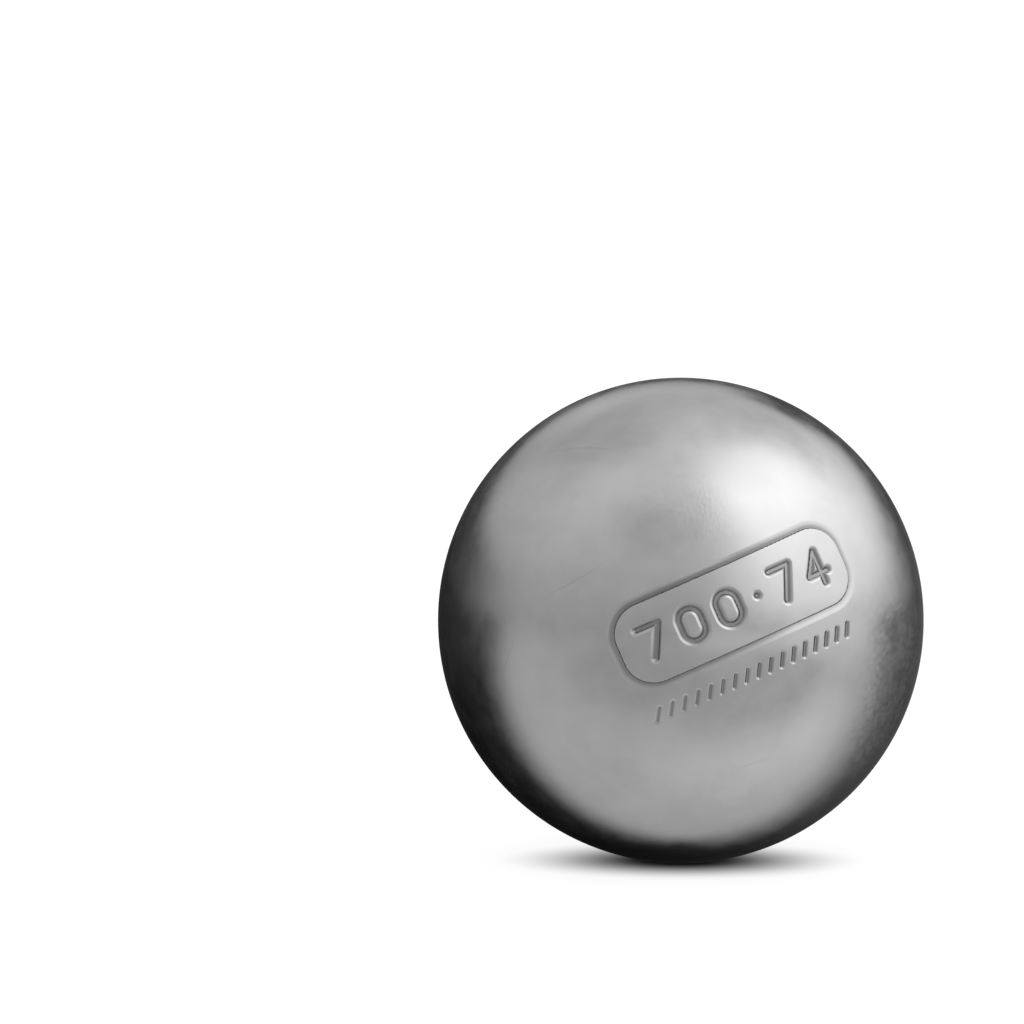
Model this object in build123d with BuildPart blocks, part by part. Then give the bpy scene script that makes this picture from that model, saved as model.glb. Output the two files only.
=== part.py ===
from build123d import *

import os
from math import cos, radians, sin, tan

# Petanque boule: two forged steel half-shells, centred on each other by a spigot in a
# rebate and joined at the equator by a weld bead that is turned flush with the ball.
# The origin is the ball's centre. Y is the shells' common axis, and -Y is the stamped side.
# +Z is up as the ball lies. Millimetres and degrees.

# Ball
ball_diameter = 74.0
wall_thickness = 6.15

# Welded joint at the equator
root_gap = 1.6
root_land = 0.8
bevel_angle = 30.0
spigot_thickness = 1.8
spigot_length = 2.5
spigot_lead_in = 0.3
spigot_clearance = 0.05

# Stamped frame round the weight figures, seen square to its middle
frame_length = 39.0
frame_height = 14.2
frame_corner = 5.6
frame_groove_width = 1.2
frame_groove_depth = 0.4
frame_azimuth = 13.8
frame_elevation = 10.7
frame_tilt = 22.0

# Every cut runs past the surface by this much
cut_overrun = 1.0

ball_radius = ball_diameter / 2
cavity_radius = ball_radius - wall_thickness
spigot_radius = cavity_radius + spigot_thickness
rebate_radius = spigot_radius + spigot_clearance
land_radius = spigot_radius + root_land

# Weld groove: a square root slot round the spigot, under a vee that opens at the surface
vee_top_radius = ball_radius + cut_overrun
vee_half_width = root_gap / 2 + (vee_top_radius - land_radius) * tan(radians(bevel_angle))
with BuildSketch(Plane.XY) as weld_groove:
    with BuildLine():
        Polyline(
            (spigot_radius, -root_gap / 2),
            (land_radius, -root_gap / 2),
            (vee_top_radius, -vee_half_width),
            (vee_top_radius, vee_half_width),
            (land_radius, root_gap / 2),
            (spigot_radius, root_gap / 2),
            close=True,
        )
    make_face()

# Frame cutter: a rounded ring that stands square to the ball at the stamp's middle and
# is hollowed to a sphere, so that its groove has one depth all the way round
frame_normal = Vector(
    sin(radians(frame_azimuth)) * cos(radians(frame_elevation)),
    -cos(radians(frame_azimuth)) * cos(radians(frame_elevation)),
    sin(radians(frame_elevation)),
)
frame_level = Vector(cos(radians(frame_azimuth)), sin(radians(frame_azimuth)), 0)
frame_plane = Plane(origin=(0, 0, 0), x_dir=frame_level, z_dir=frame_normal)
with BuildPart() as frame_cutter:
    with BuildSketch(frame_plane):
        RectangleRounded(frame_length, frame_height, frame_corner, rotation=frame_tilt)
        RectangleRounded(
            frame_length - 2 * frame_groove_width,
            frame_height - 2 * frame_groove_width,
            frame_corner - frame_groove_width,
            rotation=frame_tilt,
            mode=Mode.SUBTRACT,
        )
    extrude(amount=ball_radius + cut_overrun)
    Sphere(ball_radius - frame_groove_depth, mode=Mode.SUBTRACT)

# Front half-shell: a thick bowl with its pole at -Y. Its rim carries the spigot, the
# weld bevel and the square root face, and the stamped frame is sunk in its outside.
with BuildPart() as front_half_shell:
    with BuildSketch(Plane.XY):
        Circle(ball_radius)
        Circle(cavity_radius, mode=Mode.SUBTRACT)
        Rectangle(
            ball_radius, ball_radius, align=(Align.MIN, Align.MAX), mode=Mode.INTERSECT
        )
        with Locations((cavity_radius, 0)):
            Rectangle(spigot_thickness, spigot_length, align=(Align.MIN, Align.MIN))
        add(weld_groove.sketch, mode=Mode.SUBTRACT)
        spigot_tip = vertices().group_by(Axis.Y)[-1].sort_by(Axis.X)[-1]
        chamfer(spigot_tip, spigot_lead_in)
    revolve(axis=Axis.Y)
    add(frame_cutter.part, mode=Mode.SUBTRACT)

# Rear half-shell: its pole is at +Y. The spigot's tip seats on the rebate's shoulder,
# which sets the root gap.
with BuildPart() as rear_half_shell:
    with BuildSketch(Plane.XY):
        Circle(ball_radius)
        Circle(cavity_radius, mode=Mode.SUBTRACT)
        Rectangle(
            ball_radius, ball_radius, align=(Align.MIN, Align.MIN), mode=Mode.INTERSECT
        )
        Rectangle(
            rebate_radius, spigot_length, align=(Align.MIN, Align.MIN), mode=Mode.SUBTRACT
        )
        add(weld_groove.sketch, mode=Mode.SUBTRACT)
    revolve(axis=Axis.Y)

# Weld bead: it fills the groove from the spigot out, turned flush with the ball
with BuildPart() as weld_bead:
    with BuildSketch(Plane.XY):
        Circle(ball_radius)
        add(weld_groove.sketch, mode=Mode.INTERSECT)
    revolve(axis=Axis.Y)

os.makedirs("parts", exist_ok=True)

front_half_shell.part.label = "front_half_shell"
export_step(front_half_shell.part, "parts/front_half_shell.step")

rear_half_shell.part.label = "rear_half_shell"
export_step(rear_half_shell.part, "parts/rear_half_shell.step")

weld_bead.part.label = "weld_bead"
export_step(weld_bead.part, "parts/weld_bead.step")
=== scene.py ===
"""Petanque boule: two welded steel half-shells with a stamped mark, shown in a light tent.

Metres, +Z up, origin at the ball's centre. Y is the shells' common axis and -Y the stamped side.
Directions on the ball are given as azimuth, to the right from the front, and elevation.
"""
import logging
import math
from dataclasses import dataclass
from enum import Enum
from typing import Callable, Sequence

import bpy
import numpy as np
from mathutils import Matrix, Vector


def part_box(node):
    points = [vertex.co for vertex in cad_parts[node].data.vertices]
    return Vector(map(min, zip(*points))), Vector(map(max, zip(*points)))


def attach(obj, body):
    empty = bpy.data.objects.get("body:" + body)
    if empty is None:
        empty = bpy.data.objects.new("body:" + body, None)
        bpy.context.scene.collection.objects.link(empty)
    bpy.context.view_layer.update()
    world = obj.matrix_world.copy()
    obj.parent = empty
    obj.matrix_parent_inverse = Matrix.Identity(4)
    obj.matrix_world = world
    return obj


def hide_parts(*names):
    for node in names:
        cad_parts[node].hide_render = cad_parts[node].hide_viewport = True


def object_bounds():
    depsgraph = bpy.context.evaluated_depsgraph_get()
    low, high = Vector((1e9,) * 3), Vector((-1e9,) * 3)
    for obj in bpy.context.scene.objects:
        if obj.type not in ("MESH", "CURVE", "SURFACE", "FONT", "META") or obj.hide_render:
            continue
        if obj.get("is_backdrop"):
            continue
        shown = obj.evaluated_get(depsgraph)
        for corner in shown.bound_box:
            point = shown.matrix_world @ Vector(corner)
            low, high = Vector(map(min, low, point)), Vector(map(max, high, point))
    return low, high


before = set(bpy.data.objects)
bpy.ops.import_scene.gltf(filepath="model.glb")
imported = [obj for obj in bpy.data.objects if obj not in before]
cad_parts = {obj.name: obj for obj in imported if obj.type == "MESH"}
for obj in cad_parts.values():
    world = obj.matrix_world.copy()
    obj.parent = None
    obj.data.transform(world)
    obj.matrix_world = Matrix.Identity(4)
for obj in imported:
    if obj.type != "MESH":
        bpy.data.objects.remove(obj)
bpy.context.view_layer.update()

MM = 0.001
WHITE = (1.0, 1.0, 1.0, 1.0)
RECESS = "recess"
WALL_THICKNESS = 6.15 * MM

# No groove of the stamp is as deep as this
DEEPEST = 0.6 * MM

# Farther than any two points of the ball
FAR = 1.0

# How close two places along the axis, or two ring radii, lie when they are the same
SAME_PLACE = 1e-7
SAME_RING = 1e-6

# Stands for the squared length of a dot, a stroke that has none
NO_LENGTH = 1e-12

log = logging.getLogger("boule")


def direction(azimuth: float, elevation: float) -> Vector:
    """Turn a place seen from the ball's centre into a unit vector.

    Args:
        azimuth: degrees to the right of the front, seen from the front.
        elevation: degrees above the horizon.

    Returns:
        The unit vector that points there.
    """
    a, e = math.radians(azimuth), math.radians(elevation)
    return Vector((math.sin(a) * math.cos(e), -math.cos(a) * math.cos(e), math.sin(e)))


def smooth_step(low: float, high: float, x: np.ndarray) -> np.ndarray:
    """Ramp smoothly from 0 at low to 1 at high.

    Args:
        low: where the ramp starts; it may be above high for a falling ramp.
        high: where the ramp ends.
        x: the values to map.

    Returns:
        The ramp's height for each value.
    """
    t = np.clip((x - low) / (high - low), 0.0, 1.0)
    return t * t * (3.0 - 2.0 * t)


# The stamp


@dataclass(frozen=True)
class Bar:
    """A straight round-ended stroke of the stamp, by the ends of its middle line."""

    start: tuple[float, float]
    end: tuple[float, float]

    def distance(self, s: np.ndarray, t: np.ndarray) -> np.ndarray:
        """Measure how far points lie from the stroke's middle line.

        Args:
            s: places along the mark.
            t: places up the mark.

        Returns:
            The distances, in metres.
        """
        ds, dt = self.end[0] - self.start[0], self.end[1] - self.start[1]
        length_squared = max(ds * ds + dt * dt, NO_LENGTH)
        along = ((s - self.start[0]) * ds + (t - self.start[1]) * dt) / length_squared
        along = np.clip(along, 0.0, 1.0)
        return np.hypot(s - self.start[0] - along * ds, t - self.start[1] - along * dt)


@dataclass(frozen=True)
class Loop:
    """A closed stroke that follows a rounded rectangle, by its middle line."""

    centre: tuple[float, float]
    length: float
    height: float
    corner: float

    def signed_distance(self, s: np.ndarray, t: np.ndarray) -> np.ndarray:
        """Measure how far points lie outside the middle line; negative is inside.

        Args:
            s: places along the mark.
            t: places up the mark.

        Returns:
            The signed distances, in metres.
        """
        qs = np.abs(s - self.centre[0]) - self.length / 2 + self.corner
        qt = np.abs(t - self.centre[1]) - self.height / 2 + self.corner
        outside = np.hypot(np.maximum(qs, 0.0), np.maximum(qt, 0.0))
        return outside + np.minimum(np.maximum(qs, qt), 0.0) - self.corner

    def distance(self, s: np.ndarray, t: np.ndarray) -> np.ndarray:
        """Measure how far points lie from the stroke's middle line, as Bar does."""
        return np.abs(self.signed_distance(s, t))


@dataclass(frozen=True)
class GrooveSection:
    """The section that a punch leaves: a sunk floor between two walls with drawn-in shoulders."""

    half_width: float
    depth: float
    inner_wall: float
    outer_wall: float
    draw_in: float = 1.6

    def wall(self, along: np.ndarray) -> np.ndarray:
        """Fall along a wall from 0 at its soft shoulder to 1 at its crisp foot."""
        return np.clip(along, 0.0, 1.0) ** self.draw_in

    def sunk(self, x: np.ndarray) -> np.ndarray:
        """Give how far the surface is sunk across the groove.

        Args:
            x: signed distances from the groove's middle line; negative is the inner side.

        Returns:
            Shares of the groove's depth, from 0 beside it to 1 on its floor.
        """
        outer = self.wall((self.half_width - x) / self.outer_wall)
        inner = self.wall((self.half_width + x) / self.inner_wall)
        return outer * inner


@dataclass(frozen=True)
class Stamp:
    """The mark on the ball: a rounded frame round plain figures, over a row of ticks.

    It is laid out on a flat die of its own, s along the mark and t up it, and pressed
    straight into the ball.
    """

    azimuth: float = 13.8
    elevation: float = 10.7
    tilt: float = 22.0
    frame_length: float = 39.0 * MM
    frame_height: float = 14.2 * MM
    frame_corner: float = 5.6 * MM
    frame_section: GrooveSection = GrooveSection(0.6 * MM, 0.42 * MM, 0.2 * MM, 1.0 * MM, 1.1)
    frame_right_share: float = 0.66
    frame_bottom_share: float = 0.66
    figure_height: float = 4.9 * MM
    figure_width: float = 3.3 * MM
    figure_pitch: float = 5.9 * MM
    figure_slant: float = 0.35
    dot_slot: float = 0.6
    figure_section: GrooveSection = GrooveSection(0.92 * MM, 0.45 * MM, 0.72 * MM, 0.72 * MM)
    weight_text: str = "700"
    size_text: str = "74"
    tick_count: int = 17
    tick_pitch: float = 1.95 * MM
    tick_start_share: float = 0.7
    tick_height: float = 1.6 * MM
    tick_lean: float = 0.8 * MM
    tick_drop: float = 10.2 * MM
    tick_shift: float = -1.0 * MM
    tick_section: GrooveSection = GrooveSection(0.54 * MM, 0.32 * MM, 0.44 * MM, 0.44 * MM)
    slope_step: float = 0.004 * MM

    def axes(self) -> tuple[np.ndarray, np.ndarray, np.ndarray]:
        """Find the die's own axes in the ball's frame.

        Returns:
            Unit vectors along the mark, up the mark, and out of the ball at its middle.
        """
        out = direction(self.azimuth, self.elevation)
        level = direction(self.azimuth + 90.0, 0.0)
        turn = Matrix.Rotation(math.radians(self.tilt), 3, out)
        along = turn @ level
        return np.array(along), np.array(out.cross(along)), np.array(out)

    def figure(self, digit: str, middle: float) -> list[Bar | Loop]:
        """Lay out one figure of the upper row.

        Args:
            digit: the figure, one of 0, 4 and 7.
            middle: the place of its middle along the mark.

        Returns:
            The figure's strokes.
        """
        w, h = self.figure_width / 2, self.figure_height / 2
        slant = self.figure_slant
        if digit == "0":
            return [Loop((middle, 0.0), 2 * w, 2 * h, w)]
        if digit == "7":
            return [
                Bar((middle - w, h), (middle + w, h)),
                Bar((middle + w, h), (middle - slant * w, -h)),
            ]
        if digit == "4":
            return [
                Bar((middle + slant * w, h), (middle - w, -slant * h)),
                Bar((middle - w, -slant * h), (middle + w, -slant * h)),
                Bar((middle + slant * w, h), (middle + slant * w, -h)),
            ]
        raise ValueError(f"the stamp has no figure {digit}")

    def frame_line(self) -> Loop:
        """Lay out the frame's middle line.

        Returns:
            The line.
        """
        inset = 2 * self.frame_section.half_width
        corner = self.frame_corner - self.frame_section.half_width
        return Loop((0.0, 0.0), self.frame_length - inset, self.frame_height - inset, corner)

    def figures(self) -> list[Bar | Loop]:
        """Lay out the upper row: the weight, a dot and the size.

        Returns:
            All its strokes.
        """
        slots = len(self.weight_text) + len(self.size_text) + self.dot_slot
        first = -(slots - 1) / 2 * self.figure_pitch
        strokes: list[Bar | Loop] = []
        for i, digit in enumerate(self.weight_text):
            strokes += self.figure(digit, first + i * self.figure_pitch)
        for i, digit in enumerate(reversed(self.size_text)):
            strokes += self.figure(digit, -first - i * self.figure_pitch)
        dot = first + (len(self.weight_text) - (0.5 - self.dot_slot / 2)) * self.figure_pitch
        return strokes + [Bar((dot, 0.0), (dot, 0.0))]

    def ticks(self) -> list[Bar | Loop]:
        """Lay out the lower row of leaning ticks.

        Returns:
            All its strokes.
        """
        strokes: list[Bar | Loop] = []
        reach = self.tick_height / 2
        for i in range(self.tick_count):
            s = self.tick_shift + (i - (self.tick_count - 1) / 2) * self.tick_pitch
            foot = (s - self.tick_lean / 2, -self.tick_drop - reach)
            strokes.append(Bar(foot, (s + self.tick_lean / 2, -self.tick_drop + reach)))
        return strokes

    def tick_share(self, s: np.ndarray) -> np.ndarray:
        """Give how much of its full depth the row of ticks has along the mark."""
        reach = self.tick_pitch * self.tick_count / 2
        return self.tick_start_share + (1.0 - self.tick_start_share) * smooth_step(-reach, reach, s)

    def frame_share(self, s: np.ndarray, t: np.ndarray) -> np.ndarray:
        """Give how much of its full depth the frame has: the blow fell on its upper left.

        Args:
            s: places along the mark.
            t: places up the mark.

        Returns:
            Shares of the full depth.
        """
        along = smooth_step(-self.frame_length / 4, self.frame_length / 2, s)
        down = smooth_step(self.frame_height / 4, -self.frame_height / 2, t)
        right = 1.0 - (1.0 - self.frame_right_share) * along
        return right * (1.0 - (1.0 - self.frame_bottom_share) * down)

    def sunk(self, s: np.ndarray, t: np.ndarray) -> tuple[np.ndarray, np.ndarray]:
        """Give how far the pressed surface lies under the untouched ball.

        Args:
            s: places along the mark.
            t: places up the mark.

        Returns:
            The depths, in metres, and the shares of each groove's own depth.
        """
        share = self.frame_section.sunk(self.frame_line().signed_distance(s, t))
        share = share * self.frame_share(s, t)
        depth = self.frame_section.depth * share
        for section, strokes, strike in (
            (self.figure_section, self.figures(), 1.0),
            (self.tick_section, self.ticks(), self.tick_share(s)),
        ):
            nearest = np.full(s.shape, FAR)
            for stroke in strokes:
                nearest = np.minimum(nearest, stroke.distance(s, t))
            sunk = strike * section.sunk(nearest)
            share = np.maximum(share, sunk)
            depth = np.maximum(depth, section.depth * sunk)
        return depth, share

    def nearness(self, points: np.ndarray) -> np.ndarray:
        """Measure how far points of the ball lie from the nearest edge of the stamp.

        Args:
            points: places on the ball, one row each.

        Returns:
            Distances from the nearest groove, 0 inside one; large on the ball's far side.
        """
        along, up, out = self.axes()
        s, t = points @ along, points @ up
        nearest = self.frame_line().distance(s, t) - self.frame_section.half_width
        for section, strokes in (
            (self.figure_section, self.figures()),
            (self.tick_section, self.ticks()),
        ):
            for stroke in strokes:
                nearest = np.minimum(nearest, stroke.distance(s, t) - section.half_width)
        return np.where(points @ out > 0.0, np.maximum(nearest, 0.0), FAR)

    def press(self, rays: np.ndarray, radius: float) -> tuple[np.ndarray, np.ndarray, np.ndarray]:
        """Press the stamp into a sphere.

        Args:
            rays: unit vectors from the ball's centre, one row each.
            radius: the sphere's radius.

        Returns:
            The surface's points along those rays, its normals there, and the shares of the
            grooves' depths.
        """
        along, up, out = self.axes()
        step = self.slope_step
        s, t = radius * (rays @ along), radius * (rays @ up)
        front = (rays @ out > 0.0).astype(float)
        depth, share = self.sunk(s, t)
        slope_s = self.sunk(s + step, t)[0] - self.sunk(s - step, t)[0]
        slope_t = self.sunk(s, t + step)[0] - self.sunk(s, t - step)[0]
        slope_s, slope_t = front * slope_s / (2 * step), front * slope_t / (2 * step)
        tangent_s = along - (rays @ along)[:, None] * rays
        tangent_t = up - (rays @ up)[:, None] * rays
        normals = rays + slope_s[:, None] * tangent_s + slope_t[:, None] * tangent_t
        normals /= np.linalg.norm(normals, axis=1)[:, None]
        return rays * (radius - front * depth)[:, None], normals, front * share


# The steel pieces


class Side(Enum):
    """The ball's two sides along the shells' axis."""

    FRONT = -1.0
    REAR = 1.0


@dataclass(frozen=True)
class WeldedJoint:
    """The sizes of the welded joint that the two shells and the bead share."""

    root_gap: float = 1.6 * MM
    root_land: float = 0.8 * MM
    spigot_thickness: float = 1.8 * MM
    spigot_length: float = 2.5 * MM
    spigot_lead_in: float = 0.3 * MM
    spigot_clearance: float = 0.05 * MM


@dataclass(frozen=True)
class Ball:
    """The ball's main sizes, read from the frame."""

    radius: float
    wall: float
    rim: float
    joint: WeldedJoint

    @classmethod
    def from_frame(cls, wall: float, joint: WeldedJoint) -> "Ball":
        """Read the ball's radius and the bead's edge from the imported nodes.

        Args:
            wall: the shells' wall thickness, which no box shows.
            joint: the sizes of the welded joint.

        Returns:
            The ball's sizes.
        """
        low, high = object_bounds()
        bead_low, bead_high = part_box("weld_bead")
        radius = (high[1] - low[1]) / 2
        return cls(radius, wall, (bead_high[1] - bead_low[1]) / 2, joint)

    @property
    def cavity(self) -> float:
        """Give the radius of the hollow."""
        return self.radius - self.wall

    @property
    def spigot(self) -> float:
        """Give the spigot's outer radius."""
        return self.cavity + self.joint.spigot_thickness

    @property
    def land(self) -> float:
        """Give the radius where a rim's root face ends and its bevel starts."""
        return self.spigot + self.joint.root_land

    @property
    def rim_ring(self) -> float:
        """Give the radius of the bead's edges, where it meets the shells' outsides."""
        return math.sqrt(self.radius**2 - self.rim**2)


class Pick(Enum):
    """What a selection is made of, in Blender's words."""

    VERTICES = "VERT"
    EDGES = "EDGE"
    FACES = "FACE"


class Modeller:
    """Shapes one mesh with Blender's own operators, step by step."""

    SHARP_ANGLE = 25.0
    CUT_TOLERANCE = 1e-9

    def __init__(self, name: str) -> None:
        """Remember the finished piece's name."""
        self.name = name

    @staticmethod
    def deselect() -> None:
        """Clear the selection, in object mode."""
        if bpy.context.mode != "OBJECT":
            bpy.ops.object.mode_set(mode="OBJECT")
        bpy.ops.object.select_all(action="DESELECT")

    @classmethod
    def edit(cls, piece: bpy.types.Object, pick: Pick) -> None:
        """Open a piece in edit mode with nothing in it selected.

        Args:
            piece: the mesh object.
            pick: what can be selected.
        """
        cls.deselect()
        piece.select_set(True)
        bpy.context.view_layer.objects.active = piece
        bpy.ops.object.mode_set(mode="EDIT")
        bpy.ops.mesh.select_mode(type=pick.value)
        bpy.ops.mesh.select_all(action="DESELECT")

    @classmethod
    def select(cls, piece: bpy.types.Object, pick: Pick, chosen: np.ndarray) -> None:
        """Select vertices or faces by a mask and open the piece in edit mode.

        Args:
            piece: the mesh object.
            pick: vertices or faces.
            chosen: True for each one to select.
        """
        cls.edit(piece, pick)
        bpy.ops.object.mode_set(mode="OBJECT")
        elements = piece.data.polygons if pick is Pick.FACES else piece.data.vertices
        elements.foreach_set("select", chosen)
        bpy.ops.object.mode_set(mode="EDIT")

    @staticmethod
    def places(piece: bpy.types.Object) -> np.ndarray:
        """Read a mesh's vertex places, in object mode.

        Args:
            piece: the mesh object.

        Returns:
            One row for each vertex.
        """
        flat = np.empty(3 * len(piece.data.vertices))
        piece.data.vertices.foreach_get("co", flat)
        return flat.reshape(-1, 3)

    def skin(self, radius: float, subdivisions: int, low: float, high: float) -> bpy.types.Object:
        """Make a zone of a sphere between two planes square to Y.

        Args:
            radius: the sphere's radius.
            subdivisions: how finely the sphere is divided.
            low: the zone's start along Y, or under -radius for the pole.
            high: the zone's end along Y, or over radius for the pole.

        Returns:
            The open mesh, with its cut edges exactly on the sphere.
        """
        self.deselect()
        bpy.ops.mesh.primitive_ico_sphere_add(subdivisions=subdivisions, radius=radius)
        piece = bpy.context.active_object
        bpy.ops.object.mode_set(mode="EDIT")
        for place, outward in ((low, -1.0), (high, 1.0)):
            if abs(place) < radius:
                bpy.ops.mesh.select_all(action="SELECT")
                bpy.ops.mesh.bisect(
                    plane_co=(0.0, place, 0.0),
                    plane_no=(0.0, outward, 0.0),
                    clear_outer=True,
                    threshold=self.CUT_TOLERANCE,
                )
        bpy.ops.object.mode_set(mode="OBJECT")
        co = self.places(piece)
        for place in (low, high):
            cut = np.abs(co[:, 1] - place) < SAME_PLACE
            ring = np.hypot(co[cut, 0], co[cut, 2])
            scale = math.sqrt(max(radius**2 - place**2, 0.0)) / ring
            co[cut, 0] *= scale
            co[cut, 2] *= scale
            co[cut, 1] = place
        piece.data.vertices.foreach_set("co", co.ravel())
        return piece

    def rim_walk(self, piece: bpy.types.Object, rim: float, ring: float,
                 stations: Sequence[tuple[float, float]]) -> None:
        """Extrude an open rim round the Y axis through a row of stations.

        Args:
            piece: the mesh object.
            rim: the open rim's place along Y.
            ring: the open rim's radius.
            stations: each next ring's place along Y and radius.
        """
        co = self.places(piece)
        on_rim = np.abs(co[:, 1] - rim) < SAME_PLACE
        on_rim &= np.abs(np.hypot(co[:, 0], co[:, 2]) - ring) < SAME_RING
        self.select(piece, Pick.VERTICES, on_rim)
        bpy.ops.mesh.select_mode(type=Pick.EDGES.value)
        for place, next_ring in stations:
            bpy.ops.mesh.extrude_edges_move(
                TRANSFORM_OT_translate={"value": (0.0, place - rim, 0.0)}
            )
            scale = next_ring / ring
            bpy.ops.transform.resize(
                value=(scale, 1.0, scale), center_override=(0.0, 0.0, 0.0)
            )
            rim, ring = place, next_ring
        bpy.ops.object.mode_set(mode="OBJECT")

    def bridge(self, piece: bpy.types.Object, rings: Sequence[tuple[float, float]]) -> None:
        """Join two open rims round the Y axis by a band of faces.

        Args:
            piece: the mesh object that holds both rims.
            rings: each rim's place along Y and radius.
        """
        co = self.places(piece)
        away = np.hypot(co[:, 0], co[:, 2])
        chosen = np.zeros(len(co), dtype=bool)
        for place, ring in rings:
            same_place = np.abs(co[:, 1] - place) < SAME_PLACE
            chosen |= same_place & (np.abs(away - ring) < SAME_RING)
        self.select(piece, Pick.VERTICES, chosen)
        bpy.ops.mesh.select_mode(type=Pick.EDGES.value)
        bpy.ops.mesh.bridge_edge_loops()
        bpy.ops.object.mode_set(mode="OBJECT")

    def join(self, pieces: Sequence[bpy.types.Object]) -> bpy.types.Object:
        """Join meshes into the first one.

        Args:
            pieces: the mesh objects.

        Returns:
            The joined object.
        """
        self.deselect()
        for piece in pieces:
            piece.select_set(True)
        bpy.context.view_layer.objects.active = pieces[0]
        bpy.ops.object.join()
        return bpy.context.active_object

    def finish(self, piece: bpy.types.Object, shading: Callable[[np.ndarray], np.ndarray],
               radius: float, low: float, high: float) -> bpy.types.Object:
        """Triangulate a closed piece, turn its faces outward and shade it; its outside lies between two
        planes.

        Args:
            piece: the mesh object.
            shading: gives the outside's normals for vertex places.
            radius: the ball's radius.
            low: the outside's start along Y.
            high: the outside's end along Y.

        Returns:
            The named piece.
        """
        self.edit(piece, Pick.VERTICES)
        bpy.ops.mesh.select_all(action="SELECT")
        bpy.ops.mesh.quads_convert_to_tris(quad_method="SHORTEST_DIAGONAL")
        bpy.ops.mesh.normals_make_consistent(inside=False)
        self.deselect()
        piece.select_set(True)
        bpy.context.view_layer.objects.active = piece
        bpy.ops.object.shade_smooth_by_angle(angle=math.radians(self.SHARP_ANGLE))
        mesh = piece.data
        co = self.places(piece)
        corners = np.empty(len(mesh.loops), dtype=np.int64)
        mesh.loops.foreach_get("vertex_index", corners)
        normals = np.empty(3 * len(mesh.loops))
        mesh.corner_normals.foreach_get("vector", normals)
        normals = normals.reshape(-1, 3)
        outside = np.linalg.norm(co, axis=1) > radius - DEEPEST
        outside &= (co[:, 1] > low - SAME_PLACE) & (co[:, 1] < high + SAME_PLACE)
        outer_faces = outside[corners].reshape(-1, 3).all(axis=1)
        outer_corners = np.repeat(outer_faces, 3)
        vertex_normals = shading(co)
        normals[outer_corners] = vertex_normals[corners[outer_corners]]
        mesh.normals_split_custom_set(normals.tolist())
        piece.name = self.name
        mesh.name = self.name
        return piece


@dataclass(frozen=True)
class FrontShell:
    """The stamped half-shell, with the spigot on its rim."""

    ball: Ball
    stamp: Stamp
    name: str = "front_shell_steel"
    node: str = "front_half_shell"
    skin_subdivisions: int = 7
    bowl_subdivisions: int = 5
    stamp_cuts: int = 5
    stamp_margin: float = 0.45 * MM

    def sharpen(self, modeller: Modeller, piece: bpy.types.Object) -> None:
        """Divide the skin finely round the stamp's grooves.

        Args:
            modeller: the tool that holds the piece.
            piece: the open outer skin.
        """
        mesh = piece.data
        centres = np.empty(3 * len(mesh.polygons))
        mesh.polygons.foreach_get("center", centres)
        near = self.stamp.nearness(centres.reshape(-1, 3)) < self.stamp_margin
        modeller.select(piece, Pick.FACES, near)
        bpy.ops.mesh.subdivide(number_cuts=self.stamp_cuts, smoothness=0.0)
        bpy.ops.object.mode_set(mode="OBJECT")

    def shading(self, places: np.ndarray) -> np.ndarray:
        """Give the outside's normals at vertex places."""
        rays = places / np.linalg.norm(places, axis=1)[:, None]
        return self.stamp.press(rays, self.ball.radius)[1]

    def build(self) -> bpy.types.Object:
        """Model the shell.

        Returns:
            The closed piece.
        """
        ball, joint = self.ball, self.ball.joint
        modeller = Modeller(self.name)
        skin = modeller.skin(ball.radius, self.skin_subdivisions, -2 * ball.radius, -ball.rim)
        self.sharpen(modeller, skin)
        co = modeller.places(skin)
        on_rim = np.abs(co[:, 1] + ball.rim) < SAME_PLACE
        rays = co / np.linalg.norm(co, axis=1)[:, None]
        pressed = self.stamp.press(rays, ball.radius)[0]
        pressed[on_rim] = co[on_rim]
        skin.data.vertices.foreach_set("co", pressed.ravel())
        gap = joint.root_gap / 2
        tip = joint.spigot_length
        modeller.rim_walk(
            skin, -ball.rim, ball.rim_ring,
            (
                (-gap, ball.land),
                (-gap, ball.spigot),
                (tip - joint.spigot_lead_in, ball.spigot),
                (tip, ball.spigot - joint.spigot_lead_in),
                (tip, ball.cavity),
            ),
        )
        bowl = modeller.skin(ball.cavity, self.bowl_subdivisions, -2 * ball.cavity, 0.0)
        shell = modeller.join((skin, bowl))
        modeller.bridge(shell, ((tip, ball.cavity), (0.0, ball.cavity)))
        modeller.finish(shell, self.shading, ball.radius, -2 * ball.radius, -ball.rim)
        co = modeller.places(shell)
        away = np.linalg.norm(co, axis=1)
        share = self.stamp.press(co / away[:, None], ball.radius)[2]
        share[away < ball.radius - DEEPEST] = 0.0
        recess = shell.data.attributes.new(RECESS, "FLOAT", "POINT")
        recess.data.foreach_set("value", share.astype(np.float32))
        return shell


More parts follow.
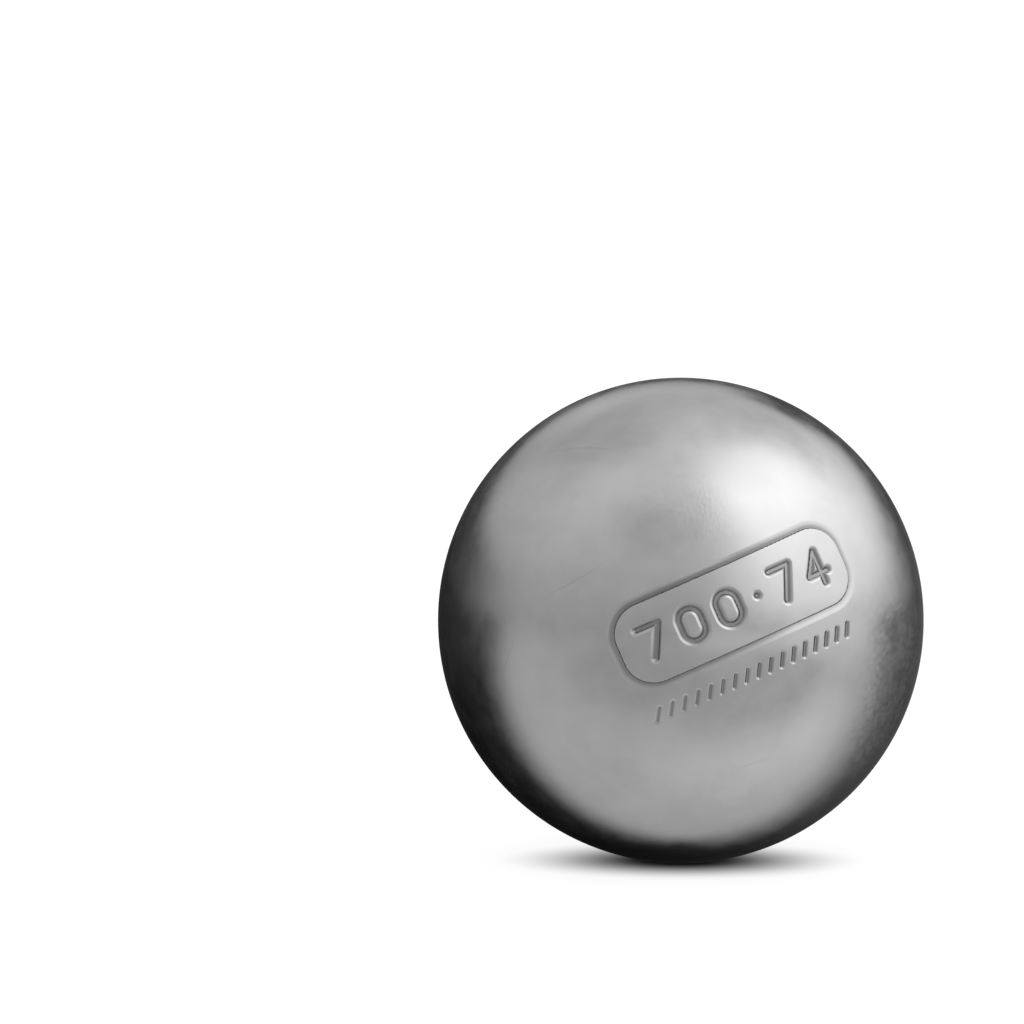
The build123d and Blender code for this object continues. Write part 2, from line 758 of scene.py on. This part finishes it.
@dataclass(frozen=True)
class RearShell:
    """The plain half-shell, with the rebate in its rim."""

    ball: Ball
    name: str = "rear_shell_steel"
    node: str = "rear_half_shell"
    skin_subdivisions: int = 7
    bowl_subdivisions: int = 5
    shoulder_share: float = 1.01

    @staticmethod
    def shading(places: np.ndarray) -> np.ndarray:
        """Give the outside's normals at vertex places."""
        return places / np.linalg.norm(places, axis=1)[:, None]

    def build(self) -> bpy.types.Object:
        """Model the shell.

        Returns:
            The closed piece.
        """
        ball, joint = self.ball, self.ball.joint
        modeller = Modeller(self.name)
        skin = modeller.skin(ball.radius, self.skin_subdivisions, ball.rim, 2 * ball.radius)
        gap = joint.root_gap / 2
        rebate = ball.spigot + joint.spigot_clearance
        shoulder = joint.spigot_length
        inner_ring = math.sqrt(ball.cavity**2 - shoulder**2)
        shoulder_ring = self.shoulder_share * inner_ring
        modeller.rim_walk(
            skin, ball.rim, ball.rim_ring,
            (
                (gap, ball.land),
                (gap, rebate),
                (shoulder, rebate),
                (shoulder, shoulder_ring),
            ),
        )
        bowl = modeller.skin(ball.cavity, self.bowl_subdivisions, shoulder, 2 * ball.cavity)
        shell = modeller.join((skin, bowl))
        modeller.bridge(shell, ((shoulder, shoulder_ring), (shoulder, inner_ring)))
        return modeller.finish(shell, self.shading, ball.radius, ball.rim, 2 * ball.radius)


@dataclass(frozen=True)
class WeldRing:
    """The weld bead, turned flush with the ball."""

    ball: Ball
    name: str = "weld_bead_steel"
    node: str = "weld_bead"
    skin_subdivisions: int = 7

    def build(self) -> bpy.types.Object:
        """Model the bead.

        Returns:
            The closed piece.
        """
        ball = self.ball
        modeller = Modeller(self.name)
        band = modeller.skin(ball.radius, self.skin_subdivisions, -ball.rim, ball.rim)
        gap = ball.joint.root_gap / 2
        for side in Side:
            modeller.rim_walk(
                band, side.value * ball.rim, ball.rim_ring,
                (
                    (side.value * gap, ball.land),
                    (side.value * gap, ball.spigot),
                ),
            )
        modeller.bridge(band, ((-gap, ball.spigot), (gap, ball.spigot)))
        return modeller.finish(band, RearShell.shading, ball.radius, -ball.rim, ball.rim)


# Materials


class Number:
    """A value inside a material, so that shader maths reads as Python."""

    def __init__(self, shader: "Shader", socket: bpy.types.NodeSocket) -> None:
        """Wrap a node's output."""
        self.shader = shader
        self.socket = socket

    def _math(self, operation: str, *values: "Number | float") -> "Number":
        """Add one Math node.

        Args:
            operation: the node's operation.
            values: what it works on, in its own order.

        Returns:
            The node's result.
        """
        inputs: dict[int | str, object] = dict(enumerate(values))
        node = self.shader.node("ShaderNodeMath", {"operation": operation}, inputs)
        return Number(self.shader, node.outputs[0])

    def __add__(self, other: "Number | float") -> "Number":
        """Add."""
        return self._math("ADD", self, other)

    __radd__ = __add__

    def __sub__(self, other: "Number | float") -> "Number":
        """Subtract."""
        return self._math("SUBTRACT", self, other)

    def __rsub__(self, other: float) -> "Number":
        """Subtract this from a number."""
        return self._math("SUBTRACT", other, self)

    def __mul__(self, other: "Number | float") -> "Number":
        """Multiply."""
        return self._math("MULTIPLY", self, other)

    __rmul__ = __mul__

    def __truediv__(self, other: "Number | float") -> "Number":
        """Divide."""
        return self._math("DIVIDE", self, other)

    def __pow__(self, other: "Number | float") -> "Number":
        """Raise to a power."""
        return self._math("POWER", self, other)

    def at_least(self, other: "Number | float") -> "Number":
        """Keep the larger of two values."""
        return self._math("MAXIMUM", self, other)

    def size(self) -> "Number":
        """Drop the sign."""
        return self._math("ABSOLUTE", self)

    def exponent(self) -> "Number":
        """Raise e to this."""
        return self._math("EXPONENT", self)

    def turn_from(self, base: "Number") -> "Number":
        """Give the angle whose tangent is this over the base, in radians."""
        return self._math("ARCTAN2", self, base)

    def wrapped(self, low: float, high: float) -> "Number":
        """Bring an angle into a range of one turn."""
        return self._math("WRAP", self, high, low)

    def ramp(self, low: float, high: float) -> "Number":
        """Ramp smoothly from 0 at low to 1 at high.

        Args:
            low: where the ramp starts.
            high: where the ramp ends.

        Returns:
            The ramp's height.
        """
        node = self.shader.node(
            "ShaderNodeMapRange",
            {"interpolation_type": "SMOOTHSTEP"},
            {"Value": self, "From Min": low, "From Max": high},
        )
        return Number(self.shader, node.outputs["Result"])


class Shader:
    """A material's or world's node tree, built from one method that makes any node."""

    def __init__(self, tree: bpy.types.NodeTree) -> None:
        """Start from an empty tree."""
        self.tree = tree
        tree.nodes.clear()

    def node(self, kind: str, settings: dict[str, object] | None = None,
             inputs: dict[int | str, object] | None = None) -> bpy.types.Node:
        """Make a node, set it up, then fill its sockets.

        Args:
            kind: the node's type.
            settings: the node's own properties.
            inputs: a value, a Number or a socket for each named or numbered input.

        Returns:
            The node.
        """
        node = self.tree.nodes.new(kind)
        for key, value in (settings or {}).items():
            setattr(node, key, value)
        for key, value in (inputs or {}).items():
            if isinstance(value, Number):
                value = value.socket
            if isinstance(value, bpy.types.NodeSocket):
                self.tree.links.new(value, node.inputs[key])
            else:
                node.inputs[key].default_value = value
        return node

    def number(self, kind: str, output: str, settings: dict[str, object] | None = None,
               inputs: dict[int | str, object] | None = None) -> Number:
        """Make a node and wrap one of its outputs.

        Args:
            kind: the node's type.
            output: the output's name.
            settings: the node's own properties.
            inputs: its inputs, as node takes them.

        Returns:
            The wrapped output.
        """
        return Number(self, self.node(kind, settings, inputs).outputs[output])

    def grey(self, value: Number) -> bpy.types.NodeSocket:
        """Make a grey colour of a value."""
        return self.node(
            "ShaderNodeCombineColor", None, {"Red": value, "Green": value, "Blue": value}
        ).outputs["Color"]

    def parts(self, vector: bpy.types.NodeSocket) -> tuple[Number, Number, Number]:
        """Split a vector.

        Args:
            vector: the vector's socket.

        Returns:
            Its X, Y and Z.
        """
        split = self.node("ShaderNodeSeparateXYZ", None, {"Vector": vector})
        return tuple(Number(self, split.outputs[axis]) for axis in ("X", "Y", "Z"))

    def length(self, vector: bpy.types.NodeSocket) -> Number:
        """Measure a vector."""
        return self.number("ShaderNodeVectorMath", "Value", {"operation": "LENGTH"}, {0: vector})

    def along(self, vector: bpy.types.NodeSocket, way: Vector) -> Number:
        """Measure how far a vector reaches along a way of length 1."""
        return self.number(
            "ShaderNodeVectorMath", "Value", {"operation": "DOT_PRODUCT"}, {0: vector, 1: tuple(way)}
        )

    def stretched(self, vector: bpy.types.NodeSocket, scale: Sequence[float],
                  turn: Sequence[float] = (0.0, 0.0, 0.0)) -> bpy.types.NodeSocket:
        """Turn and scale the coordinates that a pattern follows.

        Args:
            vector: the coordinates.
            scale: by how much each is multiplied.
            turn: the turn about each axis, in radians.

        Returns:
            The new coordinates.
        """
        inputs = {"Vector": vector, "Rotation": tuple(turn), "Scale": tuple(scale)}
        return self.node("ShaderNodeMapping", None, inputs).outputs["Vector"]

    def angles(self, vector: bpy.types.NodeSocket) -> tuple[Number, Number]:
        """Turn a vector into its two angles, as direction has them.

        Args:
            vector: the vector's socket.

        Returns:
            Its azimuth and elevation, in degrees.
        """
        x, y, z = self.parts(vector)
        elevation = z.turn_from((x * x + y * y) ** 0.5)
        return math.degrees(1.0) * x.turn_from(-1.0 * y), math.degrees(1.0) * elevation

    def surface(self, shader: bpy.types.NodeSocket) -> None:
        """Connect the tree's surface."""
        self.node("ShaderNodeOutputMaterial", None, {"Surface": shader})


def new_shader(name: str) -> tuple[bpy.types.Material, Shader]:
    """Make a material with an empty node tree.

    Args:
        name: the material's name.

    Returns:
        The material and its tree.
    """
    material = bpy.data.materials.new(name)
    material.use_nodes = True
    return material, Shader(material.node_tree)


@dataclass(frozen=True)
class Span:
    """A stretch of an angle with soft ends, in degrees."""

    middle: float
    half: float
    feather: float

    def weight(self, angle: Number) -> Number:
        """Give 1 on the stretch and 0 off it."""
        away = (angle - self.middle).wrapped(-180.0, 180.0).size()
        return 1.0 - away.ramp(self.half - self.feather, self.half + self.feather)


@dataclass(frozen=True)
class Patch:
    """A soft-edged place on the ball, and how strongly something shows there."""

    azimuth: Span
    elevation: Span
    strength: float = 1.0

    def weight(self, azimuth: Number, elevation: Number) -> Number:
        """Give the strength on the patch and 0 off it."""
        return self.strength * self.azimuth.weight(azimuth) * self.elevation.weight(elevation)


@dataclass(frozen=True)
class Scratch:
    """A fine curved scratch, by its middle on the ball and its run there."""

    azimuth: float
    elevation: float
    turn: float
    half_length: float
    half_width: float
    bow: float = 0.0
    strength: float = 1.0
    front_feather: float = 1.0 * MM

    def weight(self, shader: Shader, place: bpy.types.NodeSocket) -> Number:
        """Give the strength on the scratch, fading at its ends and sides.

        Args:
            shader: the material's tree.
            place: coordinates from the ball's centre.

        Returns:
            The strength, 0 off the scratch.
        """
        out = direction(self.azimuth, self.elevation)
        level = direction(self.azimuth + 90.0, 0.0)
        run = Matrix.Rotation(math.radians(self.turn), 3, out) @ level
        along = shader.along(place, run)
        across = shader.along(place, out.cross(run)) - self.bow * along * along
        front = shader.along(place, out).ramp(0.0, self.front_feather)
        side = 1.0 - across.size().ramp(0.0, self.half_width)
        return self.strength * front * side * (1.0 - along.size().ramp(0.0, self.half_length))


class Detail(Enum):
    """How many finer layers a noise pattern holds."""

    PLAIN = 1.0
    SOME = 2.0
    RICH = 3.0


@dataclass(frozen=True)
class SatinSteel:
    """Ground and tumbled bare steel: a soft sheen, faint clouds, peened patches and scratches."""

    name: str = "satin_steel"
    grey: float = 0.42
    grey_spread: float = 0.05
    edge_tint: float = 0.35
    roughness: float = 0.24
    roughness_spread: float = 0.06
    # Darkening by groove depth: partly unpolished pressed-in scale, partly painted shade in the recesses
    scale_and_recess_shade_dark: float = 0.42
    scratch_dark: float = 0.12
    scale_rough: float = 0.08
    scale_range: tuple[float, float] = (0.1, 0.6)
    cloud_size: float = 9.0 * MM
    cloud_range: tuple[float, float] = (0.25, 0.75)
    cloud_share: float = 0.6
    smudge_size: float = 3.5 * MM
    smudge_range: tuple[float, float] = (0.3, 0.7)
    wave_size: float = 11.0 * MM
    wave_depth: float = 0.022 * MM
    peel_size: float = 0.9 * MM
    peel_stretch: tuple[float, float, float] = (1.0, 0.5, 1.0)
    peel_depth: float = 0.03 * MM
    peel_share: float = 0.04
    peel_dark: float = 0.65
    peened: tuple[Patch, ...] = (
        Patch(Span(66.0, 15.0, 7.0), Span(-14.0, 19.0, 10.0)),
        Patch(Span(-142.0, 20.0, 12.0), Span(8.0, 20.0, 12.0), 0.3),
        Patch(Span(150.0, 16.0, 10.0), Span(-22.0, 18.0, 12.0), 0.4),
        Patch(Span(-75.0, 14.0, 10.0), Span(30.0, 12.0, 8.0), 0.25),
    )
    hatch_size: float = 0.5 * MM
    hatch_stretch: tuple[float, float, float] = (1.0, 1.0, 0.2)
    hatch_depth: float = 0.02 * MM
    hatch_share: float = 0.06
    hatched: tuple[Patch, ...] = (
        Patch(Span(-4.0, 14.0, 7.0), Span(33.0, 9.0, 6.0)),
        Patch(Span(-165.0, 22.0, 12.0), Span(35.0, 12.0, 8.0)),
    )
    scratches: tuple[Scratch, ...] = (
        Scratch(-26.0, 15.0, 31.0, 8.0 * MM, 0.24 * MM, 14.0, 0.7),
        Scratch(-36.0, 49.5, 5.0, 10.0 * MM, 0.5 * MM, -3.0, 0.6),
        # A broad, soft darker band just below the scratch above
        Scratch(-36.0, 47.0, 5.0, 12.0 * MM, 2.2 * MM, -3.0, 0.5),
        Scratch(19.5, -28.0, 20.0, 4.0 * MM, 0.3 * MM, 0.0, 0.5),
        Scratch(-44.0, -4.0, 64.0, 8.0 * MM, 0.14 * MM, 15.0, 0.5),
        Scratch(75.0, 30.0, -38.0, 9.0 * MM, 0.15 * MM, 16.0),
        Scratch(128.0, 12.0, 25.0, 12.0 * MM, 0.16 * MM, -14.0),
        Scratch(165.0, 38.0, -52.0, 10.0 * MM, 0.14 * MM, 20.0),
        Scratch(-110.0, -8.0, 70.0, 13.0 * MM, 0.15 * MM, 10.0),
    )
    scratch_depth: float = 0.008 * MM
    grain_size: float = 0.16 * MM
    grain_depth: float = 0.0009 * MM
    line_size: float = 0.12 * MM
    line_stretch: tuple[float, float, float] = (1.0, 1.0, 0.06)
    line_turn: tuple[float, float, float] = (0.35, 0.2, 0.5)
    line_depth: float = 0.0009 * MM
    noise_roughness: float = 0.55

    def noise(self, shader: Shader, place: bpy.types.NodeSocket, size: float,
              detail: Detail) -> Number:
        """Make a noise pattern.

        Args:
            shader: the material's tree.
            place: the coordinates that it follows.
            size: its grain, in metres.
            detail: how many finer layers it holds.

        Returns:
            The pattern, about 0 to 1.
        """
        inputs = {
            "Vector": place, "Scale": 1.0 / size, "Detail": detail.value,
            "Roughness": self.noise_roughness,
        }
        return shader.number("ShaderNodeTexNoise", "Fac", {"noise_dimensions": "3D"}, inputs)

    def bump(self, shader: Shader, height: Number, depth: float,
             normal: bpy.types.NodeSocket | None) -> bpy.types.NodeSocket:
        """Raise a pattern from the surface.

        Args:
            shader: the material's tree.
            height: the pattern, 0 to 1.
            depth: how high 1 stands, in metres.
            normal: the normal under it, if any.

        Returns:
            The new normal.
        """
        inputs: dict[int | str, object] = {"Height": height, "Distance": depth, "Strength": 1.0}
        if normal is not None:
            inputs["Normal"] = normal
        return shader.node("ShaderNodeBump", None, inputs).outputs["Normal"]

    @staticmethod
    def total(weights: Sequence[Number]) -> Number:
        """Add up weights.

        Args:
            weights: one or more.

        Returns:
            Their sum.
        """
        result = weights[0]
        for weight in weights[1:]:
            result = result + weight
        return result

    def material(self) -> bpy.types.Material:
        """Build the material.

        Returns:
            The material.
        """
        material, shader = new_shader(self.name)
        place = shader.node("ShaderNodeTexCoord").outputs["Object"]
        azimuth, elevation = shader.angles(place)
        clouds = self.noise(shader, place, self.cloud_size, Detail.RICH).ramp(*self.cloud_range)
        smudges = self.noise(shader, place, self.smudge_size, Detail.RICH).ramp(*self.smudge_range)
        mottle = self.cloud_share * clouds + (1.0 - self.cloud_share) * smudges
        grain = self.noise(shader, place, self.grain_size, Detail.PLAIN)
        line_place = shader.stretched(place, self.line_stretch, self.line_turn)
        lines = self.noise(shader, line_place, self.line_size, Detail.SOME)
        wave = self.noise(shader, place, self.wave_size, Detail.PLAIN)
        peened = self.total([patch.weight(azimuth, elevation) for patch in self.peened])
        peel_place = shader.stretched(place, self.peel_stretch)
        pits = self.noise(shader, peel_place, self.peel_size, Detail.PLAIN)
        peel = pits * (self.peel_share + peened)
        hatched = self.total([patch.weight(azimuth, elevation) for patch in self.hatched])
        hatch_place = shader.stretched(place, self.hatch_stretch)
        hatch = self.noise(shader, hatch_place, self.hatch_size, Detail.PLAIN)
        hatch = hatch * (self.hatch_share + hatched)
        scratched = self.total([scratch.weight(shader, place) for scratch in self.scratches])
        # Darker and rougher with groove depth: the darkening is partly pressed-in scale, partly painted
        # recess shade
        recess = shader.number("ShaderNodeAttribute", "Fac", {"attribute_name": RECESS})
        scale = recess.ramp(*self.scale_range)
        grey = (self.grey + self.grey_spread * (mottle - 0.5)) * (1.0 - self.scale_and_recess_shade_dark * scale)
        grey = grey * (1.0 - self.scratch_dark * scratched)
        grey = grey * (1.0 + self.peel_dark * peened * (pits - 0.5))
        roughness = self.roughness + self.roughness_spread * (smudges - 0.5)
        roughness = roughness + self.scale_rough * scale
        normal = None
        for height, depth in (
            (wave, self.wave_depth),
            (peel, self.peel_depth),
            (hatch, self.hatch_depth),
            (-1.0 * scratched, self.scratch_depth),
            (lines, self.line_depth),
            (grain, self.grain_depth),
        ):
            normal = self.bump(shader, height, depth, normal)
        steel = shader.node(
            "ShaderNodeBsdfPrincipled", None,
            {
                "Base Color": shader.grey(grey),
                "Metallic": 1.0,
                "Specular Tint": (self.edge_tint, self.edge_tint, self.edge_tint, 1.0),
                "Roughness": roughness,
                "Normal": normal,
            },
        )
        shader.surface(steel.outputs["BSDF"])
        return material


# The stage


@dataclass(frozen=True)
class Panel:
    """A soft-edged panel of the tent, seen from the ball, and its level. 1 is white."""

    azimuth: Span
    elevation: Span
    level: float

    def over(self, under: Number, azimuth: Number, elevation: Number) -> Number:
        """Hang the panel in front of what is there already.

        Args:
            under: the level without the panel.
            azimuth: the direction's azimuth, in degrees.
            elevation: the direction's elevation, in degrees.

        Returns:
            The level with the panel.
        """
        weight = self.azimuth.weight(azimuth) * self.elevation.weight(elevation)
        return under + (self.level - under) * weight


@dataclass(frozen=True)
class Tent:
    """The light tent: white to the eye and the floor, with painted panels that only the steel's
    reflections show.
    """

    white: float = 1.0
    horizon_level: float = 1.14
    top_level: float = 1.15
    panels: tuple[Panel, ...] = (
        Panel(Span(-46.0, 96.5, 5.5), Span(-3.5, 36.0, 45.0), 0.59),  # front scrim
        Panel(Span(-134.5, 31.5, 25.0), Span(59.5, 16.0, 9.0), 0.78),  # high scrim
        Panel(Span(125.0, 91.0, 33.0), Span(22.0, 14.0, 4.5), 1.73),  # side box
        Panel(Span(81.5, 46.0, 20.0), Span(54.0, 21.0, 18.0), 2.37),  # key box
        Panel(Span(-18.5, 25.0, 18.0), Span(50.0, 9.0, 18.0), 0.62),  # front card
        Panel(Span(-145.0, 2.0, 20.0), Span(24.5, 22.0, 3.0), 0.53),  # left scrim
        Panel(Span(164.5, 6.0, 4.0), Span(12.0, 16.0, 2.0), 0.0),  # right flag
        Panel(Span(185.5, 44.5, 37.0), Span(-40.0, 56.0, 4.0), 0.13),  # right wall
        Panel(Span(200.0, 50.0, 33.5), Span(-40.0, 56.0, 4.0), 0.12),  # left wall
    )

    def build(self) -> bpy.types.World:
        """Set up the sky.

        Returns:
            The world.
        """
        world = bpy.data.worlds.new("tent_sky")
        world.use_nodes = True
        shader = Shader(world.node_tree)
        place = shader.node("ShaderNodeTexCoord").outputs["Generated"]
        azimuth, elevation = shader.angles(place)
        level = self.horizon_level + (self.top_level - self.horizon_level) * elevation.ramp(0.0, 90.0)
        for panel in self.panels:
            level = panel.over(level, azimuth, elevation)
        path = shader.node("ShaderNodeLightPath")
        mirrored = Number(shader, path.outputs["Is Glossy Ray"])
        strength = self.white + (level - self.white) * mirrored
        sky = shader.node("ShaderNodeBackground", None, {"Color": WHITE, "Strength": strength})
        shader.node("ShaderNodeOutputWorld", None, {"Surface": sky.outputs[0]})
        bpy.context.scene.world = world
        return world


@dataclass(frozen=True)
class TablePatch:
    """A round soft-edged patch of the mirrored table, and its level."""

    x: float
    y: float
    radius: float
    level: float
    core_share: float = 0.3

    def over(self, under: Number, x: Number, y: Number) -> Number:
        """Lay the patch over what is there already.

        Args:
            under: the level without the patch.
            x: the place to the right.
            y: the place to the back.

        Returns:
            The level with the patch.
        """
        dx, dy = x - self.x, y - self.y
        away = (dx * dx + dy * dy) ** 0.5
        weight = 1.0 - away.ramp(self.core_share * self.radius, self.radius)
        return under + (self.level - under) * weight


@dataclass(frozen=True)
class MirroredTable:
    """The table's painted reflection for the steel: pale in front, dark past an edge that slants back.

    The dark is a painted contact shadow, deepest where the ball touches the table, and a little paler
    far away.
    """

    near_level: float = 0.83
    far_level_left: float = 0.66
    far_level_right: float = 1.40
    right_at: float = 232.0 * MM
    fall: float = 410.0 * MM
    patches: tuple[TablePatch, ...] = (
        TablePatch(-7.0 * MM, -234.0 * MM, 187.0 * MM, 0.0),  # front shade
        TablePatch(53.5 * MM, -98.0 * MM, 94.5 * MM, 1.77),  # key pool
        TablePatch(54.5 * MM, -205.5 * MM, 181.5 * MM, 0.72, 0.80),  # right shade
        TablePatch(-43.5 * MM, -158.0 * MM, 96.0 * MM, 0.63, 0.80),  # left shade
    )
    edge: float = -17.5 * MM
    edge_feather: float = 1.9 * MM
    slope_left: float = 0.057
    slope_right: float = 0.220
    feather_slope_left: float = 0.174
    feather_slope_right: float = 0.261
    dark_left: float = 0.023
    dark_right: float = 0.25
    dark_from: float = -20.0 * MM
    dark_to: float = 60.0 * MM
    contact_shadow_share: float = 0.47
    contact_shadow_from: float = 4.2 * MM
    contact_shadow_to: float = 32.2 * MM
    far_rise: float = 0.037
    rise_from: float = 79.0 * MM
    rise_to: float = 198.0 * MM

    def level(self, shader: Shader, place: bpy.types.NodeSocket) -> Number:
        """Work out the table's level by place.

        Args:
            shader: the table's tree.
            place: coordinates from the point under the ball.

        Returns:
            The level, where 1 is white.
        """
        x, y, _ = shader.parts(place)
        right, left = x.at_least(0.0), (-1.0 * x).at_least(0.0)
        reach = shader.length(place)
        fall = (reach / -self.fall).exponent()
        far = self.far_level_left
        far = far + (self.far_level_right - self.far_level_left) * x.ramp(0.0, self.right_at)
        lit = far + (self.near_level - far) * fall
        for patch in self.patches:
            lit = patch.over(lit, x, y)
        edge = self.edge + self.slope_right * right + self.slope_left * left
        feather = self.edge_feather + self.feather_slope_right * right
        feather = feather + self.feather_slope_left * left
        past = ((y - edge) / feather).ramp(-1.0, 1.0)
        dark = self.dark_left + (self.dark_right - self.dark_left) * x.ramp(self.dark_from, self.dark_to)
        # Painted contact shadow in the reflection: darker near the point under the ball
        clear = reach.ramp(self.contact_shadow_from, self.contact_shadow_to)
        dark = dark * (self.contact_shadow_share + (1.0 - self.contact_shadow_share) * clear)
        dark = dark + self.far_rise * reach.ramp(self.rise_from, self.rise_to)
        return lit + (dark - lit) * past


@dataclass(frozen=True)
class Floor:
    """The white table top: it keeps the ball's real shadow, and its white glow fades out near the ball
    in a painted contact shadow.
    """

    height: float
    mirrored: MirroredTable = MirroredTable()
    half_size: float = 20.0
    cells: int = 8
    albedo: float = 0.25
    glow: float = 0.85
    painted_shadow_core: float = 6.0 * MM
    painted_shadow_edge: float = 29.0 * MM
    shadow_depth_share: float = 0.65

    def build(self) -> bpy.types.Object:
        """Lay the floor.

        Returns:
            The floor.
        """
        Modeller.deselect()
        bpy.ops.mesh.primitive_grid_add(
            x_subdivisions=self.cells, y_subdivisions=self.cells, size=2 * self.half_size,
            location=(0.0, 0.0, self.height),
        )
        floor = bpy.context.active_object
        floor.name = "floor"
        material, shader = new_shader("white_table")
        place = shader.node("ShaderNodeTexCoord").outputs["Object"]
        path = shader.node("ShaderNodeLightPath")
        seen = Number(shader, path.outputs["Is Camera Ray"])
        seen = seen.at_least(Number(shader, path.outputs["Is Transmission Ray"]))
        x, y, _ = shader.parts(place)
        # The glow fades out near the ball over a flattened ellipse: a painted contact shadow
        away = (x * x + (y / self.shadow_depth_share) ** 2.0) ** 0.5
        strength = self.glow * seen * away.ramp(self.painted_shadow_core, self.painted_shadow_edge)
        glow = shader.node("ShaderNodeEmission", None, {"Color": WHITE, "Strength": strength})
        pale = (self.albedo, self.albedo, self.albedo, 1.0)
        matt = shader.node("ShaderNodeBsdfDiffuse", None, {"Color": pale})
        top = shader.node("ShaderNodeAddShader", None, {0: matt.outputs[0], 1: glow.outputs[0]})
        # Glossy rays see a painted reflection of the table instead of its own shading
        level = self.mirrored.level(shader, place)
        image = shader.node("ShaderNodeEmission", None, {"Color": WHITE, "Strength": level})
        both = shader.node(
            "ShaderNodeMixShader", None,
            {"Fac": path.outputs["Is Glossy Ray"], 1: top.outputs[0], 2: image.outputs[0]},
        )
        shader.surface(both.outputs[0])
        floor.data.materials.append(material)
        floor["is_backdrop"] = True
        return floor


@dataclass(frozen=True)
class PhotoCamera:
    """The camera: a long lens a little above the table, with the ball right of the middle."""

    elevation: float = 7.0
    lens: float = 200.0
    sensor: float = 36.0
    image: float = 1024.0
    ball_x: float = 681.75
    ball_y: float = 619.95
    ball_radius: float = 242.7
    name: str = "photo_camera"
    nearest: float = 0.01
    farthest: float = 100.0

    def build(self, radius: float) -> bpy.types.Object:
        """Place the camera so that the ball lands where the photograph has it.

        Args:
            radius: the ball's radius.

        Returns:
            The camera.
        """
        focal = self.lens / self.sensor * self.image
        distance = math.hypot(focal * radius / self.ball_radius, radius)
        yaw = math.atan((self.ball_x - self.image / 2) / focal)
        pitch = math.atan((self.ball_y - self.image / 2) / focal)
        place = distance * direction(0.0, self.elevation)
        data = bpy.data.cameras.new(self.name)
        data.lens, data.sensor_width, data.sensor_fit = self.lens, self.sensor, "HORIZONTAL"
        data.clip_start, data.clip_end = self.nearest, self.farthest
        camera = bpy.data.objects.new(self.name, data)
        bpy.context.scene.collection.objects.link(camera)
        down = Matrix.Rotation(math.radians(90.0 - self.elevation) + pitch, 4, "X")
        camera.matrix_world = Matrix.Translation(place) @ Matrix.Rotation(yaw, 4, "Z") @ down
        bpy.context.scene.camera = camera
        return camera


def corners(box: Sequence[Sequence[float]]) -> list[list[float]]:
    """Give a box's corners as plain lists."""
    return [[float(x) for x in corner] for corner in box]


def main() -> None:
    """Build the boule and its stage, piece by piece."""
    logging.basicConfig(level=logging.INFO, format="%(name)s: %(message)s")
    ball = Ball.from_frame(WALL_THICKNESS, WeldedJoint())
    steel = SatinSteel().material()
    for maker, slot in (
        (FrontShell(ball, Stamp()), "shell_steel"),
        (RearShell(ball), "shell_steel"),
        (WeldRing(ball), "weld_steel"),
    ):
        piece = maker.build()
        piece.data.materials.clear()
        piece.data.materials.append(steel)
        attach(piece, "root")
        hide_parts(maker.node)
        log.info("%s: %d triangles", piece.name, len(piece.data.polygons))
    Floor(-ball.radius).build()
    Tent().build()
    PhotoCamera().build(ball.radius)
    bpy.context.scene.view_settings.view_transform = "Standard"


if __name__ == "__main__":
    main()
